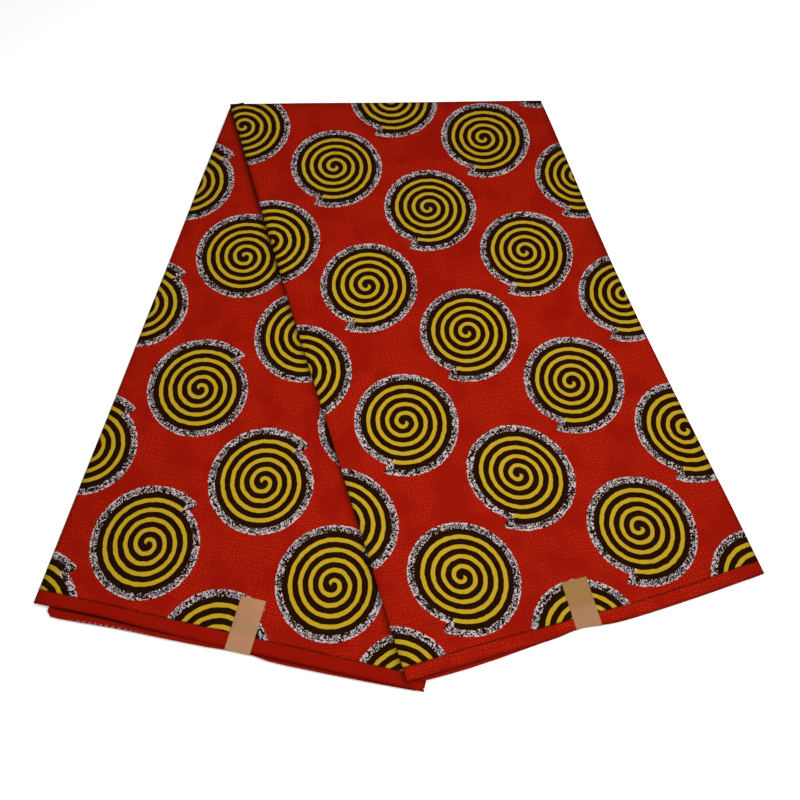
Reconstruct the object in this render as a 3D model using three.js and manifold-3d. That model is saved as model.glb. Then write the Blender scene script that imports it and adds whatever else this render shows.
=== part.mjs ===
// A folded length of printed cotton cloth, lying flat and fanned into two panels.
// Millimetres, +Z up. The origin is under the middle of the pack's bounding box, on the surface it rests on.
import * as THREE from 'three';
import Module from 'manifold-3d';
import { mergeVertices } from 'three/addons/utils/BufferGeometryUtils.js';

const wasm = await Module();
wasm.setup();

// Driving dimensions of the fan, seen from above
const UNDER = { corner: [-311.5, -288], angle: -5.3, lean: -5.9, width: 333.5, length: 546.5 };
const OVER = { corner: [5.4, -313], angle: 22.6, width: 329.9 };
const TOP_FOLD = { angle: 9.9, length: 348.5 };

// Heights and walls
const CLOTH = 1.0;
const GAP = 0.3;
const UNDER_TOP = 5.5;
const OVER_TOP = 9.2;
const OVER_FALL = 3.8;
const FALL_REACH = 80;
const TURN_RADIUS = 2.0;
const LAYER = 1.2;
const LAYER_TUCK = 21.7;
const LEDGE = 22;

// The over panel's edges sway a little in plan. Sides run hem, right, top, fold edge; a push is inwards, at its share
// of the side, with its spread along the side as a share and its reach across it in mm
const SWAYS = [
  { side: 0, push: -4.2, at: 0.66, spread: 0.30, reach: 80 },
  { side: 1, push: 5, at: 0.50, spread: 0.33, reach: 150 },
  { side: 3, push: -1.7, at: 0.42, spread: 0.30, reach: 60 },
];

// The under panel's tucked edge and the hidden layers behind it: short of the hem's end, and in from the top corner
const TUCK = { hem: 1.5, sheetTop: 8, stackTop: 9.5 };

// Inset of the hidden layers' wall, row by row down from their top: drop in mm, then a share of the rest
const WALL_ROWS = [
  { drop: 0.0, share: 0.0, side: 2.2, hem: LEDGE },
  { drop: 0.6, share: 0.0, side: 1.4, hem: LEDGE },
  { drop: LAYER + GAP, share: 0.0, side: 1.3, hem: LEDGE },
  { drop: LAYER + GAP + 0.05, share: 0.0, side: 1.1, hem: 4.0 },
  { drop: LAYER + GAP, share: 0.14, side: 0.4, hem: 3.0 },
  { drop: LAYER + GAP, share: 0.32, side: 0.4, hem: 3.0 },
  { drop: LAYER + GAP, share: 0.42, side: 1.4, hem: 4.6 },
  { drop: LAYER + GAP, share: 0.52, side: 0.5, hem: 3.6 },
  { drop: LAYER + GAP, share: 0.68, side: 0.5, hem: 3.6 },
  { drop: LAYER + GAP, share: 0.78, side: 1.4, hem: 5.0 },
  { drop: LAYER + GAP, share: 0.90, side: 0.6, hem: 4.2 },
];
const FOOT = { side: 0.8, hem: 4.4 };

// Second layers that peek out below each hem: place along the hem in mm, reach beyond the hem in mm
const UNDER_PEEK = [
  { along: 13, reach: 6.0 },
  { along: 20, reach: 7.5 },
  { along: 150, reach: 3.1 },
  { along: 163, reach: 1.4 },
  { along: 189, reach: 1.4 },
  { along: 206, reach: 3.6 },
  { along: 250, reach: 3.1 },
  { along: 316, reach: 0.6 },
];
const OVER_PEEK = [
  { along: 16, reach: 2.8 },
  { along: 54, reach: 3.6 },
  { along: 102, reach: 1.8 },
  { along: 134, reach: 0.6 },
  { along: 314, reach: 0.5 },
];

// Paper bands stuck round the hems: each leans sideways by its lean over the height that it goes up the face
const PAPER = 0.6;
const BANDS = [
  { name: 'paper_band_left', panel: 'under', along: 164.7, width: 21.7, up: 42.5, lean: 1.6, down: 1.4 },
  { name: 'paper_band_right', panel: 'over', along: 150.2, width: 23.2, up: 42.5, lean: 1.6, down: 0.8 },
];

const GRID = { across: 16, along: 26, turn: 4 };

const radians = (degrees) => (degrees * Math.PI) / 180;
const heading = (degrees) => [Math.cos(radians(degrees)), Math.sin(radians(degrees))];
const add = (p, d, k = 1) => [p[0] + d[0] * k, p[1] + d[1] * k];
const dot = (p, q) => p[0] * q[0] + p[1] * q[1];
const less = (p, q) => [p[0] - q[0], p[1] - q[1]];
const left = (d) => [-d[1], d[0]];
// Where two lines in plan meet, each given by a point and a direction
const meet = (one, two) => {
  const cross = one.run[0] * two.run[1] - one.run[1] * two.run[0];
  const apart = less(two.from, one.from);
  return add(one.from, one.run, (apart[0] * two.run[1] - apart[1] * two.run[0]) / cross);
};
const smooth = (t) => {
  const k = Math.min(Math.max(t, 0), 1);
  return k * k * (3 - 2 * k);
};

// Four plan corners, hem left, hem right, top right and top left, with a bilinear map between them
class Quad {
  constructor(points) {
    this.points = points;
  }

  at(a, b) {
    const [hemLeft, hemRight, topRight, topLeft] = this.points;
    const low = add(hemLeft, less(hemRight, hemLeft), a);
    const high = add(topLeft, less(topRight, topLeft), a);
    return add(low, less(high, low), b);
  }

  side(i) {
    const from = this.points[i];
    const run = less(this.points[(i + 1) % 4], from);
    const length = Math.hypot(...run);
    return { from, run: [run[0] / length, run[1] / length], length };
  }

  // Each side moved inwards by its own distance, in the order hem, right, top, left
  inset(distances) {
    const lines = distances.map((d, i) => {
      const { from, run } = this.side(i);
      return { from: add(from, left(run), d), run };
    });
    return new Quad([
      meet(lines[3], lines[0]),
      meet(lines[0], lines[1]),
      meet(lines[1], lines[2]),
      meet(lines[2], lines[3]),
    ]);
  }
}

function panelCorners() {
  const hem = heading(UNDER.angle);
  const topLeft = add(UNDER.corner, left(heading(UNDER.lean)), UNDER.length);
  const underHemRight = add(UNDER.corner, hem, UNDER.width);
  const underTopRight = add(topLeft, hem, UNDER.width);
  const overHemRight = add(OVER.corner, heading(OVER.angle), OVER.width);
  const topRight = add(topLeft, heading(TOP_FOLD.angle), TOP_FOLD.length);
  const tuckHem = add(underHemRight, hem, -TUCK.hem);
  const sheetTop = add(topLeft, heading(TOP_FOLD.angle), TUCK.sheetTop);
  const stackTop = add(topLeft, heading(TOP_FOLD.angle), TUCK.stackTop);
  const behindTuck = { from: tuckHem, run: less(stackTop, tuckHem) };
  const stackHem = meet(behindTuck, { from: OVER.corner, run: heading(OVER.angle) });
  return {
    underStack: new Quad([UNDER.corner, underHemRight, underTopRight, topLeft]),
    underSheet: new Quad([UNDER.corner, tuckHem, sheetTop, topLeft]),
    overSheet: new Quad([OVER.corner, overHemRight, topRight, topLeft]),
    overStack: new Quad([stackHem, overHemRight, topRight, stackTop]),
  };
}

const panels = panelCorners();

// The whole plan is bent a little across the over panel's edges, so that every piece keeps its clearance
function sway(plan) {
  let moved = plan;
  for (const { side, push, at, spread, reach } of SWAYS) {
    const { from, run, length } = panels.overSheet.side(side);
    const offset = less(plan, from);
    const along = Math.exp(-(((dot(offset, run) / length - at) / spread) ** 2));
    const across = Math.exp(-((dot(offset, left(run)) / reach) ** 2));
    moved = add(moved, left(run), push * along * across);
  }
  return moved;
}

// Height of the over panel's face: level on the under panel, then falling softly beyond its edge
function overFace([x, y]) {
  const { from, run } = panels.underStack.side(1);
  const beyond = -dot(less([x, y], from), left(run));
  return OVER_TOP - OVER_FALL * smooth(beyond / FALL_REACH);
}

const underFace = () => UNDER_TOP;

const place = (plan, z) => new THREE.Vector3(...sway(plan), z);

// Indices of a grid's edge points, counter-clockwise from the hem's left corner
function rim(across, along) {
  const ring = [];
  for (let i = 0; i < across; i += 1) ring.push([i, 0]);
  for (let j = 0; j < along; j += 1) ring.push([across, j]);
  for (let i = across; i > 0; i -= 1) ring.push([i, along]);
  for (let j = along; j > 0; j -= 1) ring.push([0, j]);
  return ring;
}

// A closed solid from a top grid, rings down its wall and a bottom grid of the same counts
function closedSolid(top, rings, bottom) {
  const across = top.length - 1;
  const along = top[0].length - 1;
  const positions = [];
  const faces = [];
  const keep = (point) => positions.push(point.x, point.y, point.z) / 3 - 1;
  const topIds = top.map((column) => column.map(keep));
  const bottomIds = bottom.map((column) => column.map(keep));
  const edge = rim(across, along);
  const loops = [
    edge.map(([i, j]) => topIds[i][j]),
    ...rings.map((ring) => ring.map(keep)),
    edge.map(([i, j]) => bottomIds[i][j]),
  ];
  for (let i = 0; i < across; i += 1) {
    for (let j = 0; j < along; j += 1) {
      const upper = [topIds[i][j], topIds[i + 1][j], topIds[i + 1][j + 1], topIds[i][j + 1]];
      const lower = [bottomIds[i][j], bottomIds[i][j + 1], bottomIds[i + 1][j + 1], bottomIds[i + 1][j]];
      faces.push(upper[0], upper[1], upper[2], upper[0], upper[2], upper[3]);
      faces.push(lower[0], lower[1], lower[2], lower[0], lower[2], lower[3]);
    }
  }
  for (let k = 0; k + 1 < loops.length; k += 1) {
    const high = loops[k];
    const low = loops[k + 1];
    for (let n = 0; n < high.length; n += 1) {
      const next = (n + 1) % high.length;
      faces.push(high[n], low[n], low[next], high[n], low[next], high[next]);
    }
  }
  const geometry = new THREE.BufferGeometry();
  geometry.setAttribute('position', new THREE.Float32BufferAttribute(positions, 3));
  geometry.setIndex(faces);
  return mergeVertices(geometry, 1e-4);
}

const grid = (across, along, point) =>
  Array.from({ length: across + 1 }, (_, i) => Array.from({ length: along + 1 }, (_, j) => point(i, j)));

// One column or row of a sheet: its share of the flat part and its turn angle at either end
function stations(count, turnStart, turnEnd) {
  const list = [];
  for (let k = turnStart ? GRID.turn : 0; k > 0; k -= 1) {
    list.push({ share: 0, start: (k / GRID.turn) * (Math.PI / 2), end: 0 });
  }
  for (let k = 0; k <= count; k += 1) list.push({ share: k / count, start: 0, end: 0 });
  for (let k = 1; turnEnd && k <= GRID.turn; k += 1) {
    list.push({ share: 1, start: 0, end: (k / GRID.turn) * (Math.PI / 2) });
  }
  return list;
}

// A face of cloth whose left, right and top edges turn down round a fold, with a cut edge at the hem
function faceSheet(outline, face, turns) {
  const flat = outline.inset([0, turns.right, turns.top, turns.left].map((on) => (on ? TURN_RADIUS : 0)));
  const columns = stations(GRID.across, turns.left, turns.right);
  const rows = stations(GRID.along, false, turns.top);
  const outwards = [1, 2, 3].map((i) => left(outline.side(i).run).map((value) => -value));
  const skin = (depth) => {
    const radius = TURN_RADIUS - depth;
    return grid(columns.length - 1, rows.length - 1, (i, j) => {
      const column = columns[i];
      const row = rows[j];
      const base = flat.at(column.share, row.share);
      let plan = add(base, outwards[0], radius * Math.sin(column.end));
      plan = add(plan, outwards[1], radius * Math.sin(row.end));
      plan = add(plan, outwards[2], radius * Math.sin(column.start));
      const turn = Math.max(column.start, column.end, row.end);
      return place(plan, face(base) - depth - radius * (1 - Math.cos(turn)));
    });
  };
  return closedSolid(skin(0), [], skin(CLOTH));
}

// The layers hidden in one stack: its top follows the face above it, and its wall swells once for each fold
function stackSolid(outline, face, openSides) {
  const { across, along } = GRID;
  const insets = ({ side, hem }) => [hem, side, side, openSides.left ? side : 0];
  const topOf = (plan) => face(plan) - CLOTH - GAP;
  const wall = WALL_ROWS.map((row) => {
    const shape = outline.inset(insets(row));
    return rim(across, along).map(([i, j]) => {
      const plan = shape.at(i / across, j / along);
      const top = topOf(plan);
      return place(plan, (top - row.drop) * (1 - row.share));
    });
  });
  const crown = outline.inset(insets(WALL_ROWS[0]));
  const foot = outline.inset(insets(FOOT));
  const top = grid(across, along, (i, j) => {
    const plan = crown.at(i / across, j / along);
    return place(plan, topOf(plan));
  });
  const bottom = grid(across, along, (i, j) => place(foot.at(i / across, j / along), 0));
  return closedSolid(top, wall.slice(1), bottom);
}

function solidOf(geometry) {
  return new wasm.Manifold(new wasm.Mesh({
    numProp: 3,
    vertProperties: Float32Array.from(geometry.attributes.position.array),
    triVerts: Uint32Array.from(geometry.index.array),
  }));
}

function geometryOf(solid) {
  const mesh = solid.getMesh();
  const geometry = new THREE.BufferGeometry();
  geometry.setAttribute('position', new THREE.BufferAttribute(mesh.vertProperties, 3));
  geometry.setIndex(new THREE.BufferAttribute(mesh.triVerts, 1));
  return geometry;
}

// A place on a panel, along its hem and back from it
const fromHem = (outline, along, back) => {
  const { from, run } = outline.side(0);
  return add(add(from, run, along), left(run), back);
};

// Reach of a second layer beyond the hem, read between the rows of its table
function reachAt(rows, along) {
  const next = rows.findIndex((row) => row.along >= along);
  if (next <= 0) return rows[next < 0 ? rows.length - 1 : 0].reach;
  const before = rows[next - 1];
  const after = rows[next];
  return before.reach + ((after.reach - before.reach) * (along - before.along)) / (after.along - before.along);
}

// The layer under a face: a strip along its hem, tucked in behind and showing beyond the hem
function secondLayer(outline, face, rows, dropBelow) {
  const steps = 24;
  const from = rows[0].along;
  const to = rows[rows.length - 1].along;
  const skin = (lowered) => grid(steps, 3, (i, j) => {
    const along = from + ((to - from) * i) / steps;
    const reach = reachAt(rows, along);
    const back = -reach + ((LAYER_TUCK + reach) * j) / 3;
    const level = face(fromHem(outline, along, Math.max(back, 0)));
    return place(fromHem(outline, along, back), level - dropBelow - lowered);
  });
  return closedSolid(skin(0), [], skin(LAYER));
}

// A flat strip of paper lying up the face, stepping down at the hem and ending just above the surface
function paperBand(outline, face, band) {
  const inner = [
    { back: band.up, above: GAP },
    { back: 1.0, above: GAP },
    { back: -GAP, above: 0.1 },
    { back: -0.6, above: -CLOTH },
    { back: -band.down, above: -CLOTH - 0.1 },
    { back: -band.down - GAP, above: -CLOTH - 0.6 },
    { back: -band.down - GAP, above: 'floor' },
  ];
  const wall = (point, k, grow) => {
    const outwards = [[0, 1], [0, 1], [-0.5, 1], [-0.6, 1], [-0.4, 1], [-1, 0.5], [-1, 0]][k];
    return { back: point.back + outwards[0] * grow, rise: outwards[1] * grow };
  };
  const skin = (grow) => grid(4, inner.length - 1, (i, j) => {
    const point = inner[inner.length - 1 - j];
    const moved = wall(point, inner.length - 1 - j, grow);
    const along = band.along + (band.width * i) / 4 + (band.lean * moved.back) / band.up;
    const level = face(fromHem(outline, along, Math.max(moved.back, 0)));
    const z = point.above === 'floor' ? GAP : level + point.above + moved.rise;
    return place(fromHem(outline, along, moved.back), z);
  });
  return closedSolid(skin(PAPER), [], skin(0));
}

const finishes = {
  cloth: { color: 0xa01508, roughness: 0.75, metalness: 0 },
  layers: { color: 0x8a1207, roughness: 0.8, metalness: 0 },
  paper: { color: 0xad7c5b, roughness: 0.55, metalness: 0 },
};

function named(name, geometry, finish) {
  geometry.computeVertexNormals();
  const mesh = new THREE.Mesh(geometry, new THREE.MeshStandardMaterial(finishes[finish]));
  mesh.name = name;
  return mesh;
}

const { underStack, underSheet, overSheet, overStack } = panels;
const hiddenTuck = overStack.inset([0, 0, 0, GAP / 2]);
const underSheetCut = underSheet.inset([0, GAP / 2, 0, 0]);
const core = solidOf(stackSolid(underStack, underFace, { left: true }))
  .add(solidOf(stackSolid(hiddenTuck, overFace, { left: false })))
  .simplify(0.02);

const cloth = new THREE.Group();
cloth.name = 'folded_printed_cloth';
cloth.add(named('hidden_layers', geometryOf(core), 'layers'));
cloth.add(named('left_panel', faceSheet(underSheetCut, underFace, { left: 1, right: 0, top: 1 }), 'cloth'));
cloth.add(named('right_panel', faceSheet(overSheet, overFace, { left: 1, right: 1, top: 1 }), 'cloth'));
cloth.add(named('left_second_layer', secondLayer(underSheetCut, underFace, UNDER_PEEK, CLOTH + GAP), 'cloth'));
cloth.add(named('right_second_layer', secondLayer(overSheet, overFace, OVER_PEEK, CLOTH + GAP), 'cloth'));
for (const band of BANDS) {
  const lower = band.panel === 'under';
  cloth.add(named(band.name, paperBand(lower ? underSheetCut : overSheet, lower ? underFace : overFace, band), 'paper'));
}

export default cloth;
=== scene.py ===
import math

import bpy
import numpy as np
from bpy.props import FloatProperty, FloatVectorProperty, IntProperty, PointerProperty
from mathutils import Matrix, Vector


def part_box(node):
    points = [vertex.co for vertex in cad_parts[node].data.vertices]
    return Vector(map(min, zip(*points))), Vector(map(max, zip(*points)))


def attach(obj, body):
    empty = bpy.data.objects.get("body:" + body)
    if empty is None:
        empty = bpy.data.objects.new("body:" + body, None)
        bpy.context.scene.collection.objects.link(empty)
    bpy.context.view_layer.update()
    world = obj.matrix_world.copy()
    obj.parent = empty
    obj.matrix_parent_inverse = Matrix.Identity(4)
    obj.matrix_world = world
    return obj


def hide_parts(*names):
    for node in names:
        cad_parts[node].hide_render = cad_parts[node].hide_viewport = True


bl_info = {
    "name": "Folded printed cloth",
    "version": (1, 0, 0),
    "blender": (4, 5, 0),
    "location": "View3D > Sidebar > Cloth",
    "description": "Builds a folded and fanned length of printed cotton",
    "category": "Add Mesh",
}

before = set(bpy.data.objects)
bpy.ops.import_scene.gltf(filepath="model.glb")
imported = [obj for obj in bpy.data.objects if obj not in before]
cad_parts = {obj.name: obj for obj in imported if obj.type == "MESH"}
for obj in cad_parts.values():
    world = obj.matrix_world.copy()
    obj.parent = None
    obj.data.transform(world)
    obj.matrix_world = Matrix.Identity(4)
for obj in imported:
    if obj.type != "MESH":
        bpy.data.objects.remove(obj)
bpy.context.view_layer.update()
MM = 0.001
BODY = "root"
UNDER_FACE_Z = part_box("left_panel")[1][2]
OVER_FACE_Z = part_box("right_panel")[1][2]


# Settings that a user would change

def length(name, description, default):
    return FloatProperty(name=name, description=description, default=default, unit="LENGTH", precision=5)


def angle(name, description, degrees):
    return FloatProperty(name=name, description=description, default=math.radians(degrees), unit="ROTATION")


def number(name, description, default):
    return FloatProperty(name=name, description=description, default=default, precision=4)


def on_plan(name, description, default):
    return FloatVectorProperty(
        name=name, description=description, default=default, size=2, subtype="TRANSLATION", precision=5
    )


def colour(name, description, default):
    return FloatVectorProperty(
        name=name, description=description, default=default, subtype="COLOR", min=0.0, max=1.0, precision=4
    )


class FanSizes(bpy.types.PropertyGroup):
    """Sizes of the two panels, seen from above, and of the cloth."""

    under_corner: on_plan("Under corner", "Hem left corner of the under panel", (-0.3115, -0.2880))
    under_angle: angle("Under angle", "Direction of the under panel's hem", -5.3)
    under_lean: angle("Under lean", "Turn of the under panel's left edge", -5.9)
    under_width: length("Under width", "Width of the under panel's hem", 0.3335)
    under_length: length("Under length", "Length of the under panel", 0.5465)
    over_corner: on_plan("Over corner", "Hem left corner of the over panel", (0.0054, -0.3130))
    over_angle: angle("Over angle", "Direction of the over panel's hem", 22.6)
    over_width: length("Over width", "Width of the over panel's hem", 0.3299)
    top_angle: angle("Top angle", "Direction of the straight top fold", 9.9)
    top_length: length("Top length", "Length of the top fold", 0.3485)
    over_fall: length("Over fall", "Fall of the over panel beyond the under one", 0.0038)
    fall_reach: length("Fall reach", "Distance over which it falls", 0.080)
    cloth: length("Cloth", "Thickness of the cloth", 0.00045)
    border: length("Border", "Width of the plain border", 0.0119)


class PrintSizes(bpy.types.PropertyGroup):
    """Sizes of the printed spiral discs and their half-drop repeat."""

    disc: length("Disc", "Mean radius of a printed disc", 0.050)
    column: length("Column", "Distance between two columns of discs", 0.0833)
    drop: length("Repeat", "Distance between two discs in a column", 0.1490)
    over_scale: on_plan("Over scale", "Stretch of the over panel's print", (1.008, 1.0))
    under_scale: on_plan("Under scale", "Stretch of the under panel's print", (0.985, 0.995))
    over_tilt: angle("Over tilt", "Slope of the over panel's rows of discs", 0.6)
    drift_along: number("Drift along", "Drift of the under print along, for a cube of metres", 3.4)
    drift_up: number("Drift up", "Drift of the under print up, for a cube of metres", 2.2)
    drift_place: length("Drift place", "Place up from the hem where that drift starts", 0.370)
    corner_place: on_plan("Corner place", "Disc at the over panel's hem corner", (-0.018, -0.004))
    corner_shift: on_plan("Corner shift", "How far that disc is shifted", (0.0010, 0.0052))
    corner_reach: length("Corner reach", "Reach of that shift", 0.085)
    hem_shift: length("Hem shift", "Shift of the over panel's print at its hem", 0.0028)
    hem_reach: length("Hem reach", "Reach of that shift up the panel", 0.045)
    edge_shift: on_plan("Edge shift", "Shift of the over print at its right edge", (0.0017, 0.0029))
    edge_start: length("Edge start", "Place along the hem where that shift starts", 0.245)
    edge_reach: length("Edge reach", "Length over which it grows along the hem", 0.045)
    edge_rise: length("Edge rise", "Length over which it grows up the edge", 0.220)
    bow_push: length("Bow", "Bow of the over print towards the fold edge", 0.0099)
    bow_place: length("Bow place", "Place of the bow up from the hem", 0.200)
    bow_below: length("Bow below", "Spread of the bow towards the hem", 0.090)
    bow_above: length("Bow above", "Spread of the bow towards the top", 0.220)
    over_start: on_plan("Over start", "A disc's centre from the over hem corner", (0.0699, 0.0684))
    under_start: on_plan("Under start", "A disc's centre from the under hem corner", (0.0756, 0.0673))
    pitch: number("Pitch", "Distance between the spiral's turns, in disc radii", 0.1755)
    arm: number("Arm", "Share of the pitch that the arm fills", 0.41)
    arm_start: number("Arm start", "Radius where the arm starts, in disc radii", 0.80)
    arm_turns: number("Arm turns", "Turns of the arm", 4.42)
    arm_place: angle("Arm place", "Direction where the arm starts", 239.0)
    rim_place: angle("Rim place", "Direction where the rim starts", 234.5)
    rim_inner: number("Rim inner", "Rim's inner radius where it starts, in disc radii", 0.942)
    rim_outer: number("Rim outer", "Rim's outer radius where it starts, in disc radii", 1.062)
    basket: length("Basket", "Size of a cell of the ground's basket of dashes", 0.0049)


class Finishes(bpy.types.PropertyGroup):
    """Colours of the cloth's inks and of the paper."""

    ground: colour("Ground", "Red ground of the print", (0.205, 0.0038, 0.0009))
    ground_dash: colour("Ground dash", "Lighter red of the basket of dashes", (0.382, 0.0148, 0.0030))
    ink_yellow: colour("Yellow", "Yellow of the spirals", (0.372, 0.240, 0.0128))
    dark_ink_and_shade: colour("Dark", "Dark brown of the discs", (0.0110, 0.0031, 0.0002))
    ink_pale: colour("Pale", "Pale marks of the rims", (0.475, 0.405, 0.360))
    paper: colour("Paper", "Tan of the paper bands", (0.325, 0.155, 0.080))
    paper_worn: colour("Paper shade", "Duller tan of the band up the face", (0.272, 0.141, 0.040))
    paper_mark: colour("Paper mark", "Crease and smudge on the paper", (0.23, 0.145, 0.062))
    floor: colour("Floor", "Pale floor", (0.93, 0.93, 0.93))


class StageSettings(bpy.types.PropertyGroup):
    """The camera and the lights."""

    camera_place: FloatVectorProperty(
        name="Camera place", description="Place of the camera", default=(-0.029, -0.318, 0.6445),
        subtype="TRANSLATION",
    )
    tilt: angle("Tilt", "Camera's turn down from the horizon", 68.5)
    roll: angle("Roll", "Camera's turn about its own axis", -7.09)
    lens: number("Lens", "Focal length in mm on a 36 mm sensor", 32.67)
    key_power: number("Key", "Power of the key light in watts", 37.0)
    fill_power: number("Fill", "Power of the fill light in watts", 4.6)
    sky: number("Sky", "Strength of the even light", 0.42)


class ClothSettings(bpy.types.PropertyGroup):
    """All settings of the folded cloth."""

    fan: PointerProperty(type=FanSizes, name="Fan", description="Sizes of the panels")
    design: PointerProperty(type=PrintSizes, name="Print", description="Sizes of the print")
    finishes: PointerProperty(type=Finishes, name="Finishes", description="Colours")
    stage: PointerProperty(type=StageSettings, name="Stage", description="Camera and lights")
    across: IntProperty(name="Across", description="Grid steps across a panel", default=112, min=8)
    along: IntProperty(name="Along", description="Grid steps along a panel", default=180, min=8)


def settings():
    return bpy.context.scene.folded_cloth


def table(columns, *rows):
    """Rows as dictionaries, each row's values under the columns' names."""
    return [dict(zip(columns, row)) for row in rows]


# Sides of a panel, counter-clockwise from its hem
HEM, RIGHT, TOP, LEFT = range(4)

# In plan: how far the under sheet and the gap before the over stack reach along the top fold, and the gap
# between the stacks at the hem
UNDER_TUCK = 8.0 * MM
OVER_TUCK = 7.0 * MM
STACK_GAP = 1.5 * MM

# Cloth turned under, in metres: at the under panel's fold edge, and at both of the over panel's, with the
# area that they add. Also the over panel's length
UNDER_TURNED = 0.014
OVER_TURNED_STRIP = 0.03 * 0.56

# Bends of the plan at a panel's sides: push inwards in mm, where along the side and how far it spreads as
# shares, and its reach from the side in mm
SWAYS = table(
    ("panel", "side", "push", "at", "spread", "reach"),
    ("over", HEM, -4.2, 0.66, 0.30, 80),
    ("over", RIGHT, 5.0, 0.50, 0.33, 150),
    ("over", LEFT, -1.7, 0.42, 0.30, 60),
    ("over", HEM, 3.4, 0.4743, 0.06, 7),
    ("under", HEM, 1.8, 0.17, 0.14, 8),
)

# Edges turned under: radius in mm, turn in degrees, and the cloth that runs on after it in mm
ARC_STEPS = 8
REST_STEPS = 4
TURNED_EDGES = table(
    ("panel", "side", "radius", "turn", "rest"),
    ("under", LEFT, 0.9, 180, 14.0),
    ("under", TOP, 0.9, 90, 0.7),
    ("over", LEFT, 1.0, 180, 14.0),
    ("over", RIGHT, 0.9, 180, 14.0),
    ("over", TOP, 0.9, 90, 0.7),
)

# Soft waves of the faces: height in mm, wavelength in metres, direction and phase in radians
WAVES = table(
    ("panel", "height", "wavelength", "direction", "phase"),
    ("under", 0.22, 0.21, 0.4, 0.6),
    ("under", 0.16, 0.13, 2.1, 1.7),
    ("over", 0.25, 0.26, 0.9, 0.2),
    ("over", 0.18, 0.15, 2.6, 2.3),
    ("over", 0.10, 0.07, 1.6, 0.9),
)
FACE_LIFT = 0.4 * MM

# Shade at a panel's rounded edges: depth as a share, reach inwards in mm, and the share of the side where it
# starts. Also the shade that each face has beside the over panel's fold edge
EDGE_SHADES = table(
    ("panel", "side", "depth", "reach", "start"),
    ("over", HEM, 0.35, 1.6, 0.0),
    ("over", RIGHT, 0.56, 2.0, 0.0),
    ("over", RIGHT, 0.30, 9.0, 0.5),
    ("over", TOP, 0.60, 3.2, 0.0),
    ("under", HEM, 0.10, 1.6, 0.0),
    ("under", LEFT, 0.62, 2.4, 0.0),
)
SHADE_RISE = 0.2
FOLD_SHADES = {"under": (0.76, 4.6), "over": (0.45, 2.6)}

# Hidden layers: how many, the seed of the first, and how far the sides are drawn in from the outline in mm,
# with what every second or third layer adds. The waves of their edges: length in metres and height in mm
STACKS = table(
    ("panel", "outlines", "count", "seed", "first", "step"),
    ("under", "stacks", 4, 11, (3.5, 1.0, 1.6, 0.9), (1.2, 0.0, 0.0, 0.5)),
    ("over", "stacks", 4, 31, (2.6, 1.0, 1.4, 0.5), (1.3, 0.7, 0.5, 0.0)),
    ("over", "sheets", 2, 51, (2.4, 1.2, 1.2, 2.6), (1.1, 0.6, 0.6, -1.2)),
)
TURNS = np.array([2, 2, 3, 2])
UNDER_CLEAR = 2.2 * MM
OVER_CLEAR = 2.4 * MM
UPPER_HIGH = 1.7 * MM
LAYER_GAP = 0.06 * MM
LAYER_ACROSS, LAYER_ALONG, LAYER_ARC = 34, 52, 6
LAYER_WAVES = ((0.31, 0.50), (0.17, 0.35), (0.083, 0.15))
LAYER_BULGE = 1.4
LAYER_CORNER = 0.72
LAYER_SHIFT = 0.031

# Second layers that peek out below the hems: place along the hem and reach beyond it in mm, and the depth
# of the painted shade under the hem
UNDER_PEEK = (
    (13, 3.8, 0.5), (17, 7.3, 0.7), (24, 7.5, 0.9), (42, 7.0, 1.0), (70, 5.9, 1.0), (110, 4.6, 0.75),
    (150, 3.1, 0.15), (163, 2.2, 0.3), (189, 1.6, 0.6), (202, 3.4, 0.8), (219, 3.7, 0.8), (253, 3.0, 0.6),
    (293, 1.6, 0.5), (326, 0.3, 0.3),
)
OVER_PEEK = (
    (10, 1.5, 0.3), (18, 2.8, 0.4), (38, 3.4, 0.5), (54, 3.5, 0.5), (80, 2.8, 0.4), (102, 1.5, 0.3),
    (120, 0.2, 0.2), (326, 0.1, 0.2),
)
SECOND_LAYERS = table(
    ("name", "node", "panel", "peek", "sink", "pins"),
    ("left_second_cloth", "left_second_layer", "under", UNDER_PEEK, 0.6, 0.30),
    ("right_second_cloth", "right_second_layer", "over", OVER_PEEK, 0.5, 0.0),
)
PEEK_STEPS = 240
PEEK_TUCK = 20 * MM
PEEK_BELOW = 0.95 * MM

# Paper bands: place along the hem, width, reach up the face and beyond the hem, sideways lean and place of
# the crease in mm, how dull the paper is above it and how smudged at it, and the paper's tone
BANDS = table(
    ("name", "panel", "along", "width", "up", "down", "lean", "crease", "dull", "smudge", "tone"),
    ("paper_band_left", "under", 164.9, 21.6, 42.5, 2.0, 1.6, 15.0, 0.15, 0.55, 1.0),
    ("paper_band_right", "over", 150.4, 23.0, 42.5, 0.5, 1.6, 18.5, 1.0, 0.0, 0.86),
)
BAND_ACROSS, BAND_ALONG, BAND_BEND, BAND_FALL = 30, 52, 8, 8
BAND_RADIUS = 0.8 * MM
BAND_LIFT = 0.42 * MM
BAND_FLOOR = 0.35 * MM
PAPER = 0.18 * MM

# Lights: place, the point that they are aimed at, and size, in metres
LIGHTS = table(
    ("name", "place", "aim", "size"),
    ("key", (2.3, 0.3, 2.6), (0.0, 0.0, 0.0), 1.0),
    ("fill", (0.03, -0.14, 0.70), (0.03, -0.14, 0.0), 0.5),
)
FLOOR_HALF = 6.0


# Plan geometry

def heading(direction):
    return np.array([math.cos(direction), math.sin(direction)])


def left_of(direction):
    return np.array([-direction[1], direction[0]])


def smooth(t):
    k = np.clip(t, 0.0, 1.0)
    return k * k * (3.0 - 2.0 * k)


def meet(one, two):
    """Where two lines in plan meet, each a point and a direction."""
    (p, d), (q, e) = one, two
    cross = d[0] * e[1] - d[1] * e[0]
    apart = q - p
    return p + d * (apart[0] * e[1] - apart[1] * e[0]) / cross


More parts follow.
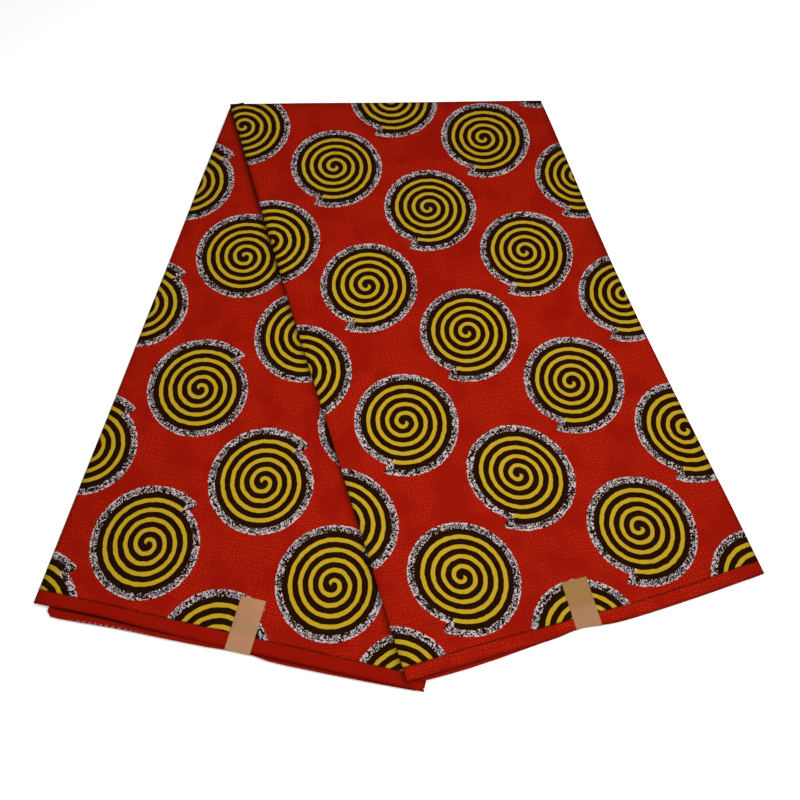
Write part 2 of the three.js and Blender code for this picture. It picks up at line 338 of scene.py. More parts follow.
class Outline:
    """Four plan corners, hem left, hem right, top right and top left."""

    def __init__(self, corners):
        self.corners = np.array(corners, float)

    def at(self, a, b):
        """The point at share a across and share b from hem to top, mixing the corners."""
        a = a[..., None]
        b = b[..., None]
        hem_left, hem_right, top_right, top_left = self.corners
        low = hem_left + (hem_right - hem_left) * a
        high = top_left + (top_right - top_left) * a
        return low + (high - low) * b

    def side(self, i):
        """First corner, direction and length of a side, in the order hem, right, top, left."""
        start = self.corners[i]
        run = self.corners[(i + 1) % 4] - start
        size = float(np.hypot(*run))
        return start, run / size, size

    def outwards(self, i):
        return -left_of(self.side(i)[1])

    def inset(self, distances):
        """Each side moved inwards by its own distance."""
        lines = []
        for i, distance in enumerate(distances):
            start, run, _ = self.side(i)
            lines.append((start + left_of(run) * distance, run))
        return Outline([meet(lines[i - 1], lines[i]) for i in range(4)])

    def place(self, plan, side=HEM):
        """Plan points in a side's own frame: along it, and inwards from it."""
        start, run, _ = self.side(side)
        offset = plan - start
        return np.stack([offset @ run, offset @ left_of(run)], -1)

    def from_corner(self, along, back):
        """Plan points at a distance along the hem and back from it."""
        start, run, _ = self.side(HEM)
        return start + run * along[..., None] + left_of(run) * back[..., None]

    def area(self):
        x, y = self.corners.T
        return 0.5 * abs(float(np.dot(x, np.roll(y, -1)) - np.dot(y, np.roll(x, -1))))


class Fan:
    """The outlines of both panels and of their stacks, worked out from the fan's sizes."""

    def __init__(self):
        s = settings().fan
        self.sizes = s
        hem = heading(s.under_angle)
        over_hem = heading(s.over_angle)
        top = heading(s.top_angle)
        corner = np.array(s.under_corner)
        over_corner = np.array(s.over_corner)
        top_left = corner + left_of(heading(s.under_lean)) * s.under_length
        under_right = corner + hem * s.under_width
        under_top_right = top_left + hem * s.under_width
        over_right = over_corner + over_hem * s.over_width
        top_right = top_left + top * s.top_length
        under_edge = (under_right, under_top_right - under_right)
        beside = meet(under_edge, (over_corner, over_hem)) + over_hem * STACK_GAP
        self.sheets = {
            "under": Outline([corner, under_right, top_left + top * UNDER_TUCK, top_left]),
            "over": Outline([over_corner, over_right, top_right, top_left]),
        }
        self.stacks = {
            "under": Outline([corner, under_right, under_top_right, top_left]),
            "over": Outline([beside, over_right, top_right, top_left + top * OVER_TUCK]),
        }

    def sway(self, plan):
        """Plan points pushed sideways, each bend a bell along its side times one across it."""
        moved = plan
        for bend in SWAYS:
            start, run, size = self.sheets[bend["panel"]].side(bend["side"])
            offset = plan - start
            along = np.exp(-((offset @ run / size - bend["at"]) / bend["spread"]) ** 2)
            across = np.exp(-(offset @ left_of(run) / (bend["reach"] * MM)) ** 2)
            moved = moved + left_of(run) * (bend["push"] * MM * along * across)[..., None]
        return moved

    def from_side(self, panel, side, points):
        """Share along a panel's side, and distance inwards from that side once it is bent."""
        start, run, size = self.sheets[panel].side(side)
        offset = points[..., :2] - start
        along = offset @ run
        edge = (self.sway(start + along[..., None] * run) - start) @ left_of(run)
        return along / size, offset @ left_of(run) - edge

    def face(self, panel, plan):
        """Height of a panel: level, and for the over panel an S-curve down beyond the under stack's edge."""
        if panel == "under":
            return np.full(plan.shape[:-1], UNDER_FACE_Z)
        beyond = -self.stacks["under"].place(plan, RIGHT)[..., 1]
        return OVER_FACE_Z - self.sizes.over_fall * smooth(beyond / self.sizes.fall_reach)


# Meshes

def add_object(name, vertices, faces, uv=None, values=None, material=None):
    mesh = bpy.data.meshes.new(name)
    mesh.from_pydata(vertices.tolist(), [], faces.tolist())
    loops = np.empty(len(mesh.loops), np.int32)
    mesh.loops.foreach_get("vertex_index", loops)
    if uv is not None:
        layer = mesh.uv_layers.new(name="cloth_uv")
        layer.data.foreach_set("uv", uv[loops].astype(np.float32).ravel())
    for key, value in (values or {}).items():
        attribute = mesh.attributes.new(key, "FLOAT", "POINT")
        attribute.data.foreach_set("value", value.astype(np.float32).ravel())
    mesh.polygons.foreach_set("use_smooth", np.ones(len(mesh.polygons), bool))
    mesh.update()
    piece = bpy.data.objects.new(name, mesh)
    bpy.context.scene.collection.objects.link(piece)
    if material is not None:
        mesh.materials.append(material)
    return piece


def grid_quads(rows, columns, start=0, flip=False):
    """Quads of a grid whose point (i, j) has the number start + i * columns + j."""
    i, j = np.meshgrid(np.arange(rows - 1), np.arange(columns - 1), indexing="ij")
    corner = start + i * columns + j
    quads = np.stack([corner, corner + columns, corner + columns + 1, corner + 1], -1).reshape(-1, 4)
    return quads[:, ::-1] if flip else quads


def rim_ids(rows, columns):
    """Numbers of a grid's edge points, once round from its first point along the first index."""
    ids = np.arange(rows * columns).reshape(rows, columns)
    return np.concatenate([ids[:-1, 0], ids[-1, :-1], ids[:0:-1, -1], ids[0, :0:-1]])


def loop_quads(high, low):
    """Quads between two loops of points, facing out when the loops run counter-clockwise from above."""
    return np.stack([high, low, np.roll(low, -1), np.roll(high, -1)], -1)


def shell(points, thickness):
    """A closed wall: the grid moved half a thickness each way along its normals, the cross products of its
    two central differences, and joined round the rim."""
    rows, columns = points.shape[:2]
    normal = np.cross(np.gradient(points, axis=0), np.gradient(points, axis=1))
    normal = normal / np.maximum(np.linalg.norm(normal, axis=-1, keepdims=True), 1e-12)
    outer = (points + normal * thickness / 2).reshape(-1, 3)
    inner = (points - normal * thickness / 2).reshape(-1, 3)
    count = rows * columns
    rim = rim_ids(rows, columns)
    faces = [grid_quads(rows, columns), grid_quads(rows, columns, count, True), loop_quads(rim, rim + count)]
    return np.concatenate([outer, inner]), np.concatenate(faces)


def turned_edge(run, radius, turn):
    """Outward reach and drop at a distance run past a flat edge: round an arc, then straight on."""
    bend = np.minimum(run / radius, turn)
    rest = np.maximum(run - radius * turn, 0.0)
    reach = radius * np.sin(bend) + rest * math.cos(turn)
    drop = radius * (1.0 - np.cos(bend)) + rest * math.sin(turn)
    return reach, drop


def stations(count, before, after):
    """Stations over a flat part with turned runs at its ends: share of that part, run before and after."""
    def runs(edge):
        if not edge:
            return np.zeros(0)
        arc = edge["radius"] * MM * math.radians(edge["turn"])
        return np.concatenate([
            np.linspace(0, arc, ARC_STEPS + 1)[1:],
            arc + np.linspace(0, edge["rest"] * MM, REST_STEPS + 1)[1:],
        ])

    first = runs(before)[::-1]
    last = runs(after)
    share = np.concatenate([np.zeros(len(first)), np.linspace(0, 1, count + 1), np.ones(len(last))])
    start = np.concatenate([first, np.zeros(count + 1 + len(last))])
    end = np.concatenate([np.zeros(count + 1 + len(first)), last])
    return share, start, end


def waves(plan, panel):
    """Sum of a panel's soft waves in metres, one sine for each of its rows."""
    total = 0.0
    for row in WAVES:
        if row["panel"] == panel:
            turns = (plan @ heading(row["direction"])) / row["wavelength"]
            total = total + row["height"] * MM * np.sin(2 * np.pi * turns + row["phase"])
    return total


def relief(fan, panel, plan):
    """Soft relief of a face in metres: low waves, a lifted hem at the left of the under panel, and a full
    fold edge on the over panel."""
    if panel == "under":
        along, up = np.moveaxis(fan.sheets[panel].place(plan), -1, 0)
        ends = smooth((150 * MM - along) / (120 * MM)) * smooth(along / (20 * MM))
        form = 1.3 * MM * ends * np.exp(-up / (14 * MM))
    else:
        inwards = fan.sheets[panel].place(plan, LEFT)[..., 1]
        form = 0.5 * MM * np.exp(-((inwards - 9 * MM) / (11 * MM)) ** 2)
    return form + waves(plan, panel) + FACE_LIFT


def folded_face(fan, panel):
    """A panel's face as a grid: a flat part over the outline less its turned edges, whose left, right and
    top runs go round an arc and on. The height is the face's, plus the relief, less the largest drop. Also
    the unrolled place of each point in the panel's own frame, and its distance from the straight hem."""
    s = settings()
    outline = fan.sheets[panel]
    edges = {row["side"]: row for row in TURNED_EDGES if row["panel"] == panel}
    flat = outline.inset([edges[i]["radius"] * MM if i in edges else 0.0 for i in range(4)])
    share_a, run_left, run_right = stations(s.across, edges.get(LEFT), edges.get(RIGHT))
    share_b, _, run_top = stations(s.along, None, edges.get(TOP))
    a, b = np.meshgrid(share_a, share_b, indexing="ij")
    base = flat.at(a, b)
    plan = base
    unrolled = base
    drops = [np.zeros_like(a)]
    for side, run in ((LEFT, run_left[:, None]), (RIGHT, run_right[:, None]), (TOP, run_top[None])):
        if side not in edges:
            continue
        out = outline.outwards(side)
        run = np.broadcast_to(run, a.shape)
        reach, drop = turned_edge(run, edges[side]["radius"] * MM, math.radians(edges[side]["turn"]))
        plan = plan + out * reach[..., None]
        unrolled = unrolled + out * run[..., None]
        drops.append(drop)
    height = fan.face(panel, base) + relief(fan, panel, base) - np.max(drops, axis=0)
    points = np.concatenate([fan.sway(plan), height[..., None]], -1)
    return points, outline.place(fan.sway(unrolled)), outline.place(unrolled)[..., 1]


# Shader graphs

def operator(operation, reflected=False):
    """An operator between a wire and another value, which adds a Math node."""
    def apply(self, other):
        values = (other, self) if reflected else (self, other)
        return self.graph.maths(operation, *values)

    return apply


class Wire:
    """An output socket whose arithmetic adds Math nodes."""

    __add__ = operator("ADD")
    __radd__ = operator("ADD")
    __sub__ = operator("SUBTRACT")
    __rsub__ = operator("SUBTRACT", reflected=True)
    __mul__ = operator("MULTIPLY")
    __rmul__ = operator("MULTIPLY")
    __truediv__ = operator("DIVIDE")
    __rtruediv__ = operator("DIVIDE", reflected=True)
    __lt__ = operator("LESS_THAN")
    __gt__ = operator("GREATER_THAN")

    def __init__(self, graph, socket):
        self.graph = graph
        self.socket = socket

    def __abs__(self):
        return self.graph.maths("ABSOLUTE", self)


class Graph:
    """A material's node tree, with one method for any node."""

    def __init__(self, name):
        self.material = bpy.data.materials.new(name)
        self.material.use_nodes = True
        self.tree = self.material.node_tree
        self.tree.nodes.clear()

    def node(self, kind, output=0, set=None, **inputs):
        """Adds a node, sets its settings, then its sockets by name or, after an underscore, by number."""
        node = self.tree.nodes.new(kind)
        for key, value in (set or {}).items():
            setattr(node, key, value)
        for key, value in inputs.items():
            socket = node.inputs[int(key[1:])] if key[0] == "_" else node.inputs[key.replace("__", " ")]
            self.feed(socket, value)
        return Wire(self, node.outputs[output])

    def feed(self, socket, value):
        if isinstance(value, Wire):
            self.tree.links.new(value.socket, socket)
        elif hasattr(value, "__len__") and len(value) == 3 and socket.type == "RGBA":
            socket.default_value = (*value, 1.0)
        else:
            socket.default_value = value

    def maths(self, operation, *values):
        inputs = {f"_{i}": value for i, value in enumerate(values)}
        return self.node("ShaderNodeMath", set={"operation": operation}, **inputs)

    def step(self, low, high, value):
        """A smooth step from 0 at low to 1 at high."""
        return self.node(
            "ShaderNodeMapRange", set={"interpolation_type": "SMOOTHSTEP"},
            Value=value, From__Min=low, From__Max=high, To__Min=0.0, To__Max=1.0,
        )

    def mix(self, factor, first, second):
        return self.node(
            "ShaderNodeMix", output=2, set={"data_type": "RGBA"}, Factor=factor, _6=first, _7=second
        )

    def noise(self, vector, scale, detail=2.0, distortion=0.0):
        return self.node(
            "ShaderNodeTexNoise", set={"noise_dimensions": "2D"},
            Vector=vector, Scale=scale, Detail=detail, Distortion=distortion, Roughness=0.5,
        )

    def scaled(self, tint, factor):
        return self.node("ShaderNodeVectorMath", set={"operation": "SCALE"}, _0=tint, Scale=factor)

    def finish(self, shader):
        output = self.tree.nodes.new("ShaderNodeOutputMaterial")
        self.tree.links.new(shader.socket, output.inputs["Surface"])
        return self.material


def nearest_disc(g, u, v, design):
    """Place in the nearest disc of the half-drop repeat: two lattices of wrapped places, the closer kept."""
    column = design.column
    drop = design.drop

    def wrapped(value, shift, period):
        return g.maths("WRAP", value + shift, -period / 2, period / 2)

    xa = wrapped(u, 0.0, 2 * column)
    ya = wrapped(v, 0.0, drop)
    xb = wrapped(u, column, 2 * column)
    yb = wrapped(v, drop / 2, drop)
    other = (xb * xb + yb * yb) < (xa * xa + ya * ya)
    x = xa + (xb - xa) * other
    return x, ya + (yb - ya) * other


def spiral_disc(g, x, y, cloth, design, colours, ground):
    """Colour of a spiral disc over the ground. The arm's centre lies where the radius falls by one pitch a
    turn. A speckled rim follows it outside, and steps by a pitch where the arm starts."""
    turn = 2 * math.pi
    wander = (g.noise(cloth, 160.0, 1.0) - 0.5) * 0.022
    radius = g.maths("SQRT", x * x + y * y) / design.disc + wander
    direction = g.maths("ARCTAN2", y, x) / turn
    arm_turn = g.maths("FRACT", direction - design.arm_place / turn)
    rim_turn = g.maths("FRACT", direction - design.rim_place / turn)
    place = (design.arm_start - arm_turn * design.pitch - radius) / design.pitch
    whole = g.maths("FLOOR", place + 0.5)
    off = abs(place - whole)
    so_far = whole + arm_turn
    taper = g.step(design.arm_turns, design.arm_turns - 0.22, so_far)
    half = taper * (design.arm / 2)
    arm = g.step(0.03, -0.03, off - half) * (place > -0.5) * g.step(-0.002, 0.004, so_far)
    rough = (g.noise(cloth, 420.0, 2.0) - 0.5) * 0.022
    ragged = radius + rough
    inner = design.rim_inner - rim_turn * design.pitch
    outer = design.rim_outer - rim_turn * design.pitch
    in_disc = ragged < outer
    from_step = direction - (design.rim_place / turn - 1.0)
    near_step = abs(from_step - 0.008) < 0.011
    beside_step = near_step * (radius > design.rim_inner - design.pitch) * (radius < design.rim_outer)
    in_rim = g.maths("MAXIMUM", (ragged > inner) * in_disc, beside_step)
    band = g.step(0.535, 0.59, g.noise(cloth, 340.0, 1.0, 1.8))
    marks = g.step(0.47, 0.55, g.noise(cloth, 380.0, 0.0))
    edge_line = g.step(0.024, 0.010, abs(outer - 0.012 - ragged)) * marks
    pale = in_rim * g.maths("MAXIMUM", band, edge_line * 0.9)
    tint = g.mix(g.noise(cloth, 900.0, 1.0), colours.ink_pale, [0.42, 0.34, 0.40])
    covered = g.maths("MAXIMUM", in_disc, beside_step)
    result = g.mix(covered, ground, colours.dark_ink_and_shade)
    result = g.mix(arm * in_disc, result, colours.ink_yellow)
    return g.mix(pale, result, tint)


def basket_ground(g, u, v, cloth, design, colours, strength):
    """Red ground with a faint basket: cells hold two dashes along the hem or two across it, turn about."""
    size = design.basket
    astray = (g.noise(cloth, 210.0, 0.0) - 0.5) * 0.30
    cu = u / size + astray
    cv = v / size - astray
    parity = g.maths("FRACT", (g.maths("FLOOR", cu) + g.maths("FLOOR", cv)) * 0.5) * 2.0
    fu = g.maths("FRACT", cu)
    fv = g.maths("FRACT", cv)
    over = g.maths("FRACT", (fv + (fu - fv) * parity) * 2.0)
    along = fu + (fv - fu) * parity
    thick = g.step(0.38, 0.22, abs(over - 0.5))
    dash = thick * g.step(0.46, 0.36, abs(along - 0.5))
    patchy = g.step(0.32, 0.62, g.noise(cloth, 30.0, 2.0))
    weight = dash * (patchy * 0.75 + 0.25) * strength
    return g.mix(weight, colours.ground, colours.ground_dash)


def cloth_material(name, border_strength, pins=0.0, shade=1.0):
    """Printed cotton on the piece's own map: discs over a basket ground, a plain border with a dark line
    along the hem, pale pin marks at a cut edge, painted shade read from an attribute of the piece, a fine
    plain weave in the bump and a faint sheen."""
    s = settings()
    design = s.design
    colours = s.finishes
    g = Graph(name)
    cloth = g.node("ShaderNodeUVMap", set={"uv_map": "cloth_uv"})
    u = g.node("ShaderNodeSeparateXYZ", output=0, Vector=cloth)
    v = g.node("ShaderNodeSeparateXYZ", output=1, Vector=cloth)
    from_hem = g.node("ShaderNodeAttribute", output=2, set={"attribute_name": "from_hem"})
    border_edge = from_hem + (g.noise(cloth, 60.0, 1.0) - 0.5) * 0.0008
    in_border = border_edge < s.fan.border
    ground_strength = 0.58
    strength = in_border * (border_strength - ground_strength) + ground_strength
    ground = basket_ground(g, u, v, cloth, design, colours, strength)
    x, y = nearest_disc(g, u, v, design)
    result = g.mix(in_border, spiral_disc(g, x, y, cloth, design, colours, ground), ground)
    line = g.step(0.0011, 0.0004, abs(border_edge - s.fan.border))
    broken = g.step(0.36, 0.56, g.noise(cloth, 130.0, 1.0)) * 0.25 + 0.45
    result = g.mix(line * broken, result, colours.dark_ink_and_shade)
    if pins:
        pitch = 0.0050
        beat = g.maths("FRACT", (u + g.noise(cloth, 60.0, 1.0) * 0.003) / pitch)
        row = g.step(0.0009, 0.0001, abs(from_hem - 0.0007))
        present = g.step(0.108, 0.072, u) * g.step(0.030, 0.046, u) * pins
        result = g.mix(row * present * g.step(0.58, 0.44, beat), result, colours.ink_pale)
    # Painted shade: an attribute of the piece darkens the colour towards the dark ink, standing in for the
    # shadow beside the over panel's fold edge, the shade at rounded edges and the shade under a lifted hem
    gap = g.node("ShaderNodeAttribute", output=2, set={"attribute_name": "gap"})
    result = g.mix(gap * 0.9, result, colours.dark_ink_and_shade)
    cloudy = g.noise(cloth, 9.0, 3.0) * 0.11 + (0.94 * shade)
    slub = g.noise(cloth, 700.0, 1.0) * 0.34 + 0.83
    tone = g.scaled(result, cloudy * slub)
    thread = 0.00042
    weft = g.maths("SINE", v * (2 * math.pi / thread))
    warp = g.maths("SINE", u * (2 * math.pi / thread))
    weave = weft * warp * 0.5 + g.noise(cloth, 2600.0, 1.0)
    relief = g.node("ShaderNodeBump", Strength=0.16, Distance=0.0002, Height=weave)
    rough = g.noise(cloth, 40.0, 2.0) * 0.14 + 0.68
    shader = g.node(
        "ShaderNodeBsdfPrincipled", Base__Color=tone, Roughness=rough, Normal=relief,
        Sheen__Weight=0.003, Sheen__Roughness=0.45, Specular__IOR__Level=0.012,
    )
    return g.finish(shader)


def paper_material(band):
    """Tan paper: faint fibres and stains, a painted shade line along a crease across it, a duller tone above
    it and a smudge at it.
    """
    colours = settings().finishes
    g = Graph(band["name"] + "_paper")
    paper = g.node("ShaderNodeUVMap", set={"uv_map": "cloth_uv"})
    up = g.node("ShaderNodeAttribute", output=2, set={"attribute_name": "from_hem"})
    fibres = g.noise(paper, 700.0, 3.0)
    stain = g.noise(paper, 90.0, 2.0)
    from_crease = up + (stain - 0.5) * 0.004 - band["crease"] * MM
    base = g.mix(g.step(-0.001, 0.004, from_crease) * band["dull"], colours.paper, colours.paper_worn)
    # Painted shade along the crease, and the smudge beside it, a stain, both in one darker colour
    crease_shade_line = g.step(0.0011, 0.0, abs(from_crease)) * 0.30
    smudge = g.step(0.007, 0.001, abs(from_crease - 0.003)) * band["smudge"]
    base = g.mix(g.maths("MAXIMUM", crease_shade_line, smudge), base, colours.paper_mark)
    tone = g.scaled(base, (fibres * 0.14 + stain * 0.16 + 0.85) * band["tone"])
    relief = g.node("ShaderNodeBump", Strength=0.2, Distance=0.0003, Height=fibres)
    shader = g.node(
        "ShaderNodeBsdfPrincipled", Base__Color=tone, Roughness=stain * 0.2 + 0.5, Normal=relief,
        Specular__IOR__Level=0.12,
    )
    return g.finish(shader)


def floor_material():
    g = Graph("pale_floor")
    place = g.node("ShaderNodeTexCoord", output=3)
    tone = g.mix(g.noise(place, 3.0, 2.0) * 0.04, settings().finishes.floor, [0.88, 0.88, 0.88])
    return g.finish(g.node(
        "ShaderNodeBsdfPrincipled", Base__Color=tone, Roughness=0.9,
        Emission__Color=tone, Emission__Strength=0.24,
    ))


# Building pieces and settling them on the body

def settle(piece, node):
    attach(piece, BODY)
    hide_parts(node)


def under_map(place):
    """The under panel's frame with a disc's centre at its origin, turned half round. Its print drifts
    towards the over panel and the top by a cube of the distance above the drift's start."""
    design = settings().design
    above = np.maximum(place[..., 1:] - design.drift_place, 0.0)
    drifted = place - np.array([design.drift_along, design.drift_up]) * above ** 3
    return (np.array(design.under_start) - drifted) / np.array(design.under_scale)


def over_map(place):
    """The over panel's frame with a disc's centre at its origin, its rows sloped and its columns bowed by a
    bell that spreads further up than down. Its hem corner is shifted within a bell of a fourth power, its
    hem within a bell, and its right edge by smooth steps."""
    design = settings().design
    apart = np.linalg.norm(place - np.array(design.corner_place), axis=-1) / design.corner_reach
    shifted = place - np.array(design.corner_shift) * np.exp(-apart ** 4)[..., None]
    at_hem = np.exp(-(place[..., 1] / design.hem_reach) ** 2)
    beside = smooth((place[..., 0] - design.edge_start) / design.edge_reach)
    beside = beside * smooth(place[..., 1] / design.edge_rise)
    along, up = np.moveaxis(shifted - np.array(design.over_start), -1, 0)
    along = along - design.hem_shift * at_hem - design.edge_shift[0] * beside
    up = up - design.edge_shift[1] * beside
    above = place[..., 1] - design.bow_place
    bell = np.exp(-(above / np.where(above > 0.0, design.bow_above, design.bow_below)) ** 2)
    moved = np.stack([along + design.bow_push * bell, up + along * math.tan(design.over_tilt)], -1)
    return moved / np.array(design.over_scale)


def cloth_piece(name, points, uv, values, thickness, material):
    """A wall of cloth round the given points, with its map and named values on both of its sides."""
    def both(array):
        return np.concatenate([array.reshape(-1, *array.shape[2:])] * 2)

    vertices, faces = shell(points, thickness)
    values = {key: both(value) for key, value in values.items()}
    return add_object(name, vertices, faces, both(uv), values, material)


def edge_shade(fan, points, panel):
    """Share of shade at a panel's rounded edges: for each row, a fall with the distance from its side."""
    light = np.ones(points.shape[:-1])
    for row in EDGE_SHADES:
        if row["panel"] != panel:
            continue
        along, inwards = fan.from_side(panel, row["side"], points)
        apart = np.maximum(inwards, 0.0) / (row["reach"] * MM)
        begun = smooth((along - row["start"]) / SHADE_RISE) if row["start"] else 1.0
        light = light * (1.0 - row["depth"] * begun * np.exp(-apart))
    return 1.0 - light


def fold_shade(fan, points, panel):
    """Share of shade beside the over panel's fold edge: a bell of the distance, halved towards the hem."""
    depth, reach = FOLD_SHADES[panel]
    along, inwards = fan.from_side("over", LEFT, points)
    bell = np.exp(-(inwards / (reach * MM)) ** 2)
    return depth * bell * (0.5 + 0.5 * smooth((0.50 - along) / SHADE_RISE))


def face_piece(fan, panel, name, to_map, material):
    """A panel's face, with its map, its distance from the hem and its shade."""
    points, place, from_hem = folded_face(fan, panel)
    # Painted shade beside the over panel's fold edge and at the rounded edges, for the shader to mix in
    shade = np.maximum(fold_shade(fan, points, panel), edge_shade(fan, points, panel))
    values = {"from_hem": from_hem, "gap": shade}
    return cloth_piece(name, points, to_map(place), values, fan.sizes.cloth, material)


def stack_level(fan, row, plan, share):
    """Height at a share of a stack: from the surface up, or for the upper sheets from its top up."""
    if row["panel"] == "under":
        return np.full(len(plan), (UNDER_FACE_Z - UNDER_CLEAR) * share)
    base = fan.face("over", plan) - OVER_CLEAR - UPPER_HIGH
    return base * share if row["outlines"] == "stacks" else base + UPPER_HIGH * share


def stack_layer(fan, row, k):
    """One folded layer: a slab between two of the stack's levels, its outline drawn in and wavering by a sum
    of sines, and its edge half round."""
    phases = np.random.default_rng(row["seed"] + k).uniform(0, 2 * np.pi, len(LAYER_WAVES))
    recess = (np.array(row["first"]) + np.array(row["step"]) * (k % TURNS)) * MM
    shape = getattr(fan, row["outlines"])[row["panel"]].inset(recess)
    rows, columns = LAYER_ACROSS + 1, LAYER_ALONG + 1
    a, b = np.meshgrid(np.linspace(0, 1, rows), np.linspace(0, 1, columns), indexing="ij")
    flat = shape.at(a, b).reshape(-1, 2)
    rim = rim_ids(rows, columns)
    walls = np.array([shape.outwards(i) for i in range(4)])
    out = walls[np.repeat(range(4), [LAYER_ACROSS, LAYER_ALONG] * 2)]
    corners = np.cumsum([0, LAYER_ACROSS, LAYER_ALONG, LAYER_ACROSS])
    out[corners] = (walls + np.roll(walls, 1, axis=0)) * LAYER_CORNER
    edge = flat[rim]
    distance = np.concatenate([[0], np.cumsum(np.hypot(*np.diff(edge, axis=0).T))])
    waver = sum(
        np.sin(distance / apart * 2 * np.pi + phase) * high * MM
        for (apart, high), phase in zip(LAYER_WAVES, phases)
    )
    top = stack_level(fan, row, flat, (k + 1) / row["count"]) - LAYER_GAP
    bottom = stack_level(fan, row, flat, k / row["count"])
    middle = (top + bottom)[rim] / 2
    half = (top - bottom)[rim] / 2
    flat[rim] = edge + out * waver[:, None]
    count = len(flat)
    vertices = [np.column_stack([fan.sway(flat), level]) for level in (top, bottom)]
    loops = [rim]
    for step in range(1, LAYER_ARC):
        bend = math.pi * step / LAYER_ARC
        bulge = flat[rim] + out * (half * LAYER_BULGE * math.sin(bend))[:, None]
        loops.append(2 * count + (step - 1) * len(rim) + np.arange(len(rim)))
        vertices.append(np.column_stack([fan.sway(bulge), middle + half * math.cos(bend)]))
    loops.append(rim + count)
    faces = [grid_quads(rows, columns), grid_quads(rows, columns, count, True)]
    faces += [loop_quads(high, low) for high, low in zip(loops, loops[1:])]
    return np.concatenate(vertices), np.concatenate(faces)


def stack_piece(fan, panel, name, layers, material):
    """Several folded layers joined in one mesh, each with the print's map shifted by a step of its own."""
    counts = [len(points) for points, _ in layers]
    starts = np.cumsum([0, *counts])
    vertices = np.concatenate([points for points, _ in layers])
    faces = np.concatenate([quads + start for (_, quads), start in zip(layers, starts)])
    cloth = fan.sheets[panel].place(vertices[:, :2])
    uv = cloth - np.array(getattr(settings().design, panel + "_start"))
    uv[:, 0] += LAYER_SHIFT * np.repeat(np.arange(len(layers)) + 1, counts)
    return add_object(name, vertices, faces, uv, {"from_hem": cloth[:, 1]}, material)


def second_layer(fan, layer):
    """The layer below a face along its hem: rows run from behind the hem to a reach read from its table.
    Also its place in the panel's frame, its distance from its own edge, and the depth of its painted shade."""
    outline = fan.sheets[layer["panel"]]
    places, reaches, gap_shade_depths = np.array(layer["peek"]).T
    places = places * MM
    along = np.linspace(places[0], places[-1], PEEK_STEPS)
    reach = np.interp(along, places, reaches * MM) + 0.12 * MM * np.sin(along / 0.021)
    gap = np.interp(along, places, gap_shade_depths)[:, None]
    share = np.concatenate([np.linspace(0, 0.45, 22), np.linspace(0.45, 1, 7)[1:]])
    back = -reach[:, None] + (PEEK_TUCK + reach[:, None]) * share[None]
    along = np.broadcast_to(along[:, None], back.shape)
    level = fan.face(layer["panel"], outline.from_corner(along, np.maximum(back, 0))) - PEEK_BELOW
    beyond = np.maximum(-back, 0)
    ripple = 0.18 * MM * np.sin(along / 0.017 + 0.6) * np.minimum(beyond / (4 * MM), 1)
    height = level - layer["sink"] * MM * smooth(beyond / (10 * MM)) + ripple
    points = np.concatenate([fan.sway(outline.from_corner(along, back)), height[..., None]], -1)
    # Painted shade under the hem: full beneath it, fading out just beyond its edge
    dark = gap * smooth((back + (1.0 + 1.4 * gap) * MM) / (1.2 * MM))
    return points, np.stack([along, back], -1), back + reach[:, None], dark


def band_points(fan, band):
    """A paper strip along a path down the face, round a corner at the hem and down to the surface."""
    panel = band["panel"]
    outline = fan.sheets[panel]
    up = band["up"] * MM
    turn_from = BAND_RADIUS - band["down"] * MM
    bend = np.linspace(0, math.pi / 2, BAND_BEND + 1)[1:]
    face_run = np.linspace(up, turn_from, BAND_ALONG)
    end = np.full(BAND_FALL, turn_from - BAND_RADIUS)
    back = np.concatenate([face_run, turn_from - BAND_RADIUS * np.sin(bend), end])
    dip = np.concatenate([
        np.zeros(BAND_ALONG), BAND_RADIUS * (1 - np.cos(bend)), np.full(BAND_FALL, BAND_RADIUS)
    ])
    a, rear = np.meshgrid(np.linspace(0, 1, BAND_ACROSS), back, indexing="ij")
    along = (band["along"] + band["lean"] * rear / up + band["width"] * a) * MM
    base = outline.from_corner(along, np.maximum(rear, 0))
    puff = 0.35 * MM * np.sin(np.pi * a) * np.clip(rear / (8 * MM), 0, 1)
    ridge = 0.3 * MM * np.exp(-((rear - band["crease"] * MM) / (1.2 * MM)) ** 2)
    height = fan.face(panel, base) + relief(fan, panel, base) + BAND_LIFT - dip[None] + puff + ridge
    fall = np.linspace(0, 1, BAND_FALL + 1)[1:]
    above = height[:, -BAND_FALL - 1:-BAND_FALL]
    height[:, -BAND_FALL:] = above * (1 - fall) + BAND_FLOOR * fall
    points = np.concatenate([fan.sway(outline.from_corner(along, rear)), height[..., None]], -1)
    return points[:, ::-1], np.stack([along, rear], -1)[:, ::-1]


# Operators

class CLOTH_OT_under_panel(bpy.types.Operator):
    """Add the under panel's face: printed cotton with a folded left edge and a lifted hem"""

    bl_idname = "cloth.under_panel"
    bl_label = "Under panel"

    def execute(self, context):
        fan = Fan()
        s = fan.sizes
        material = cloth_material("printed_cloth_under", border_strength=0.12)
        piece = face_piece(fan, "under", "left_panel_cloth", under_map, material)
        settle(piece, "left_panel")
        fan.sheets["under"].area() + UNDER_TURNED * s.under_length
        return {"FINISHED"}


class CLOTH_OT_over_panel(bpy.types.Operator):
    """Add the over panel's face: printed cotton with folded left and right edges"""

    bl_idname = "cloth.over_panel"
    bl_label = "Over panel"

    def execute(self, context):
        fan = Fan()
        material = cloth_material("printed_cloth_over", border_strength=0.75)
        piece = face_piece(fan, "over", "right_panel_cloth", over_map, material)
        settle(piece, "right_panel")
        fan.sheets["over"].area() + OVER_TURNED_STRIP
        return {"FINISHED"}


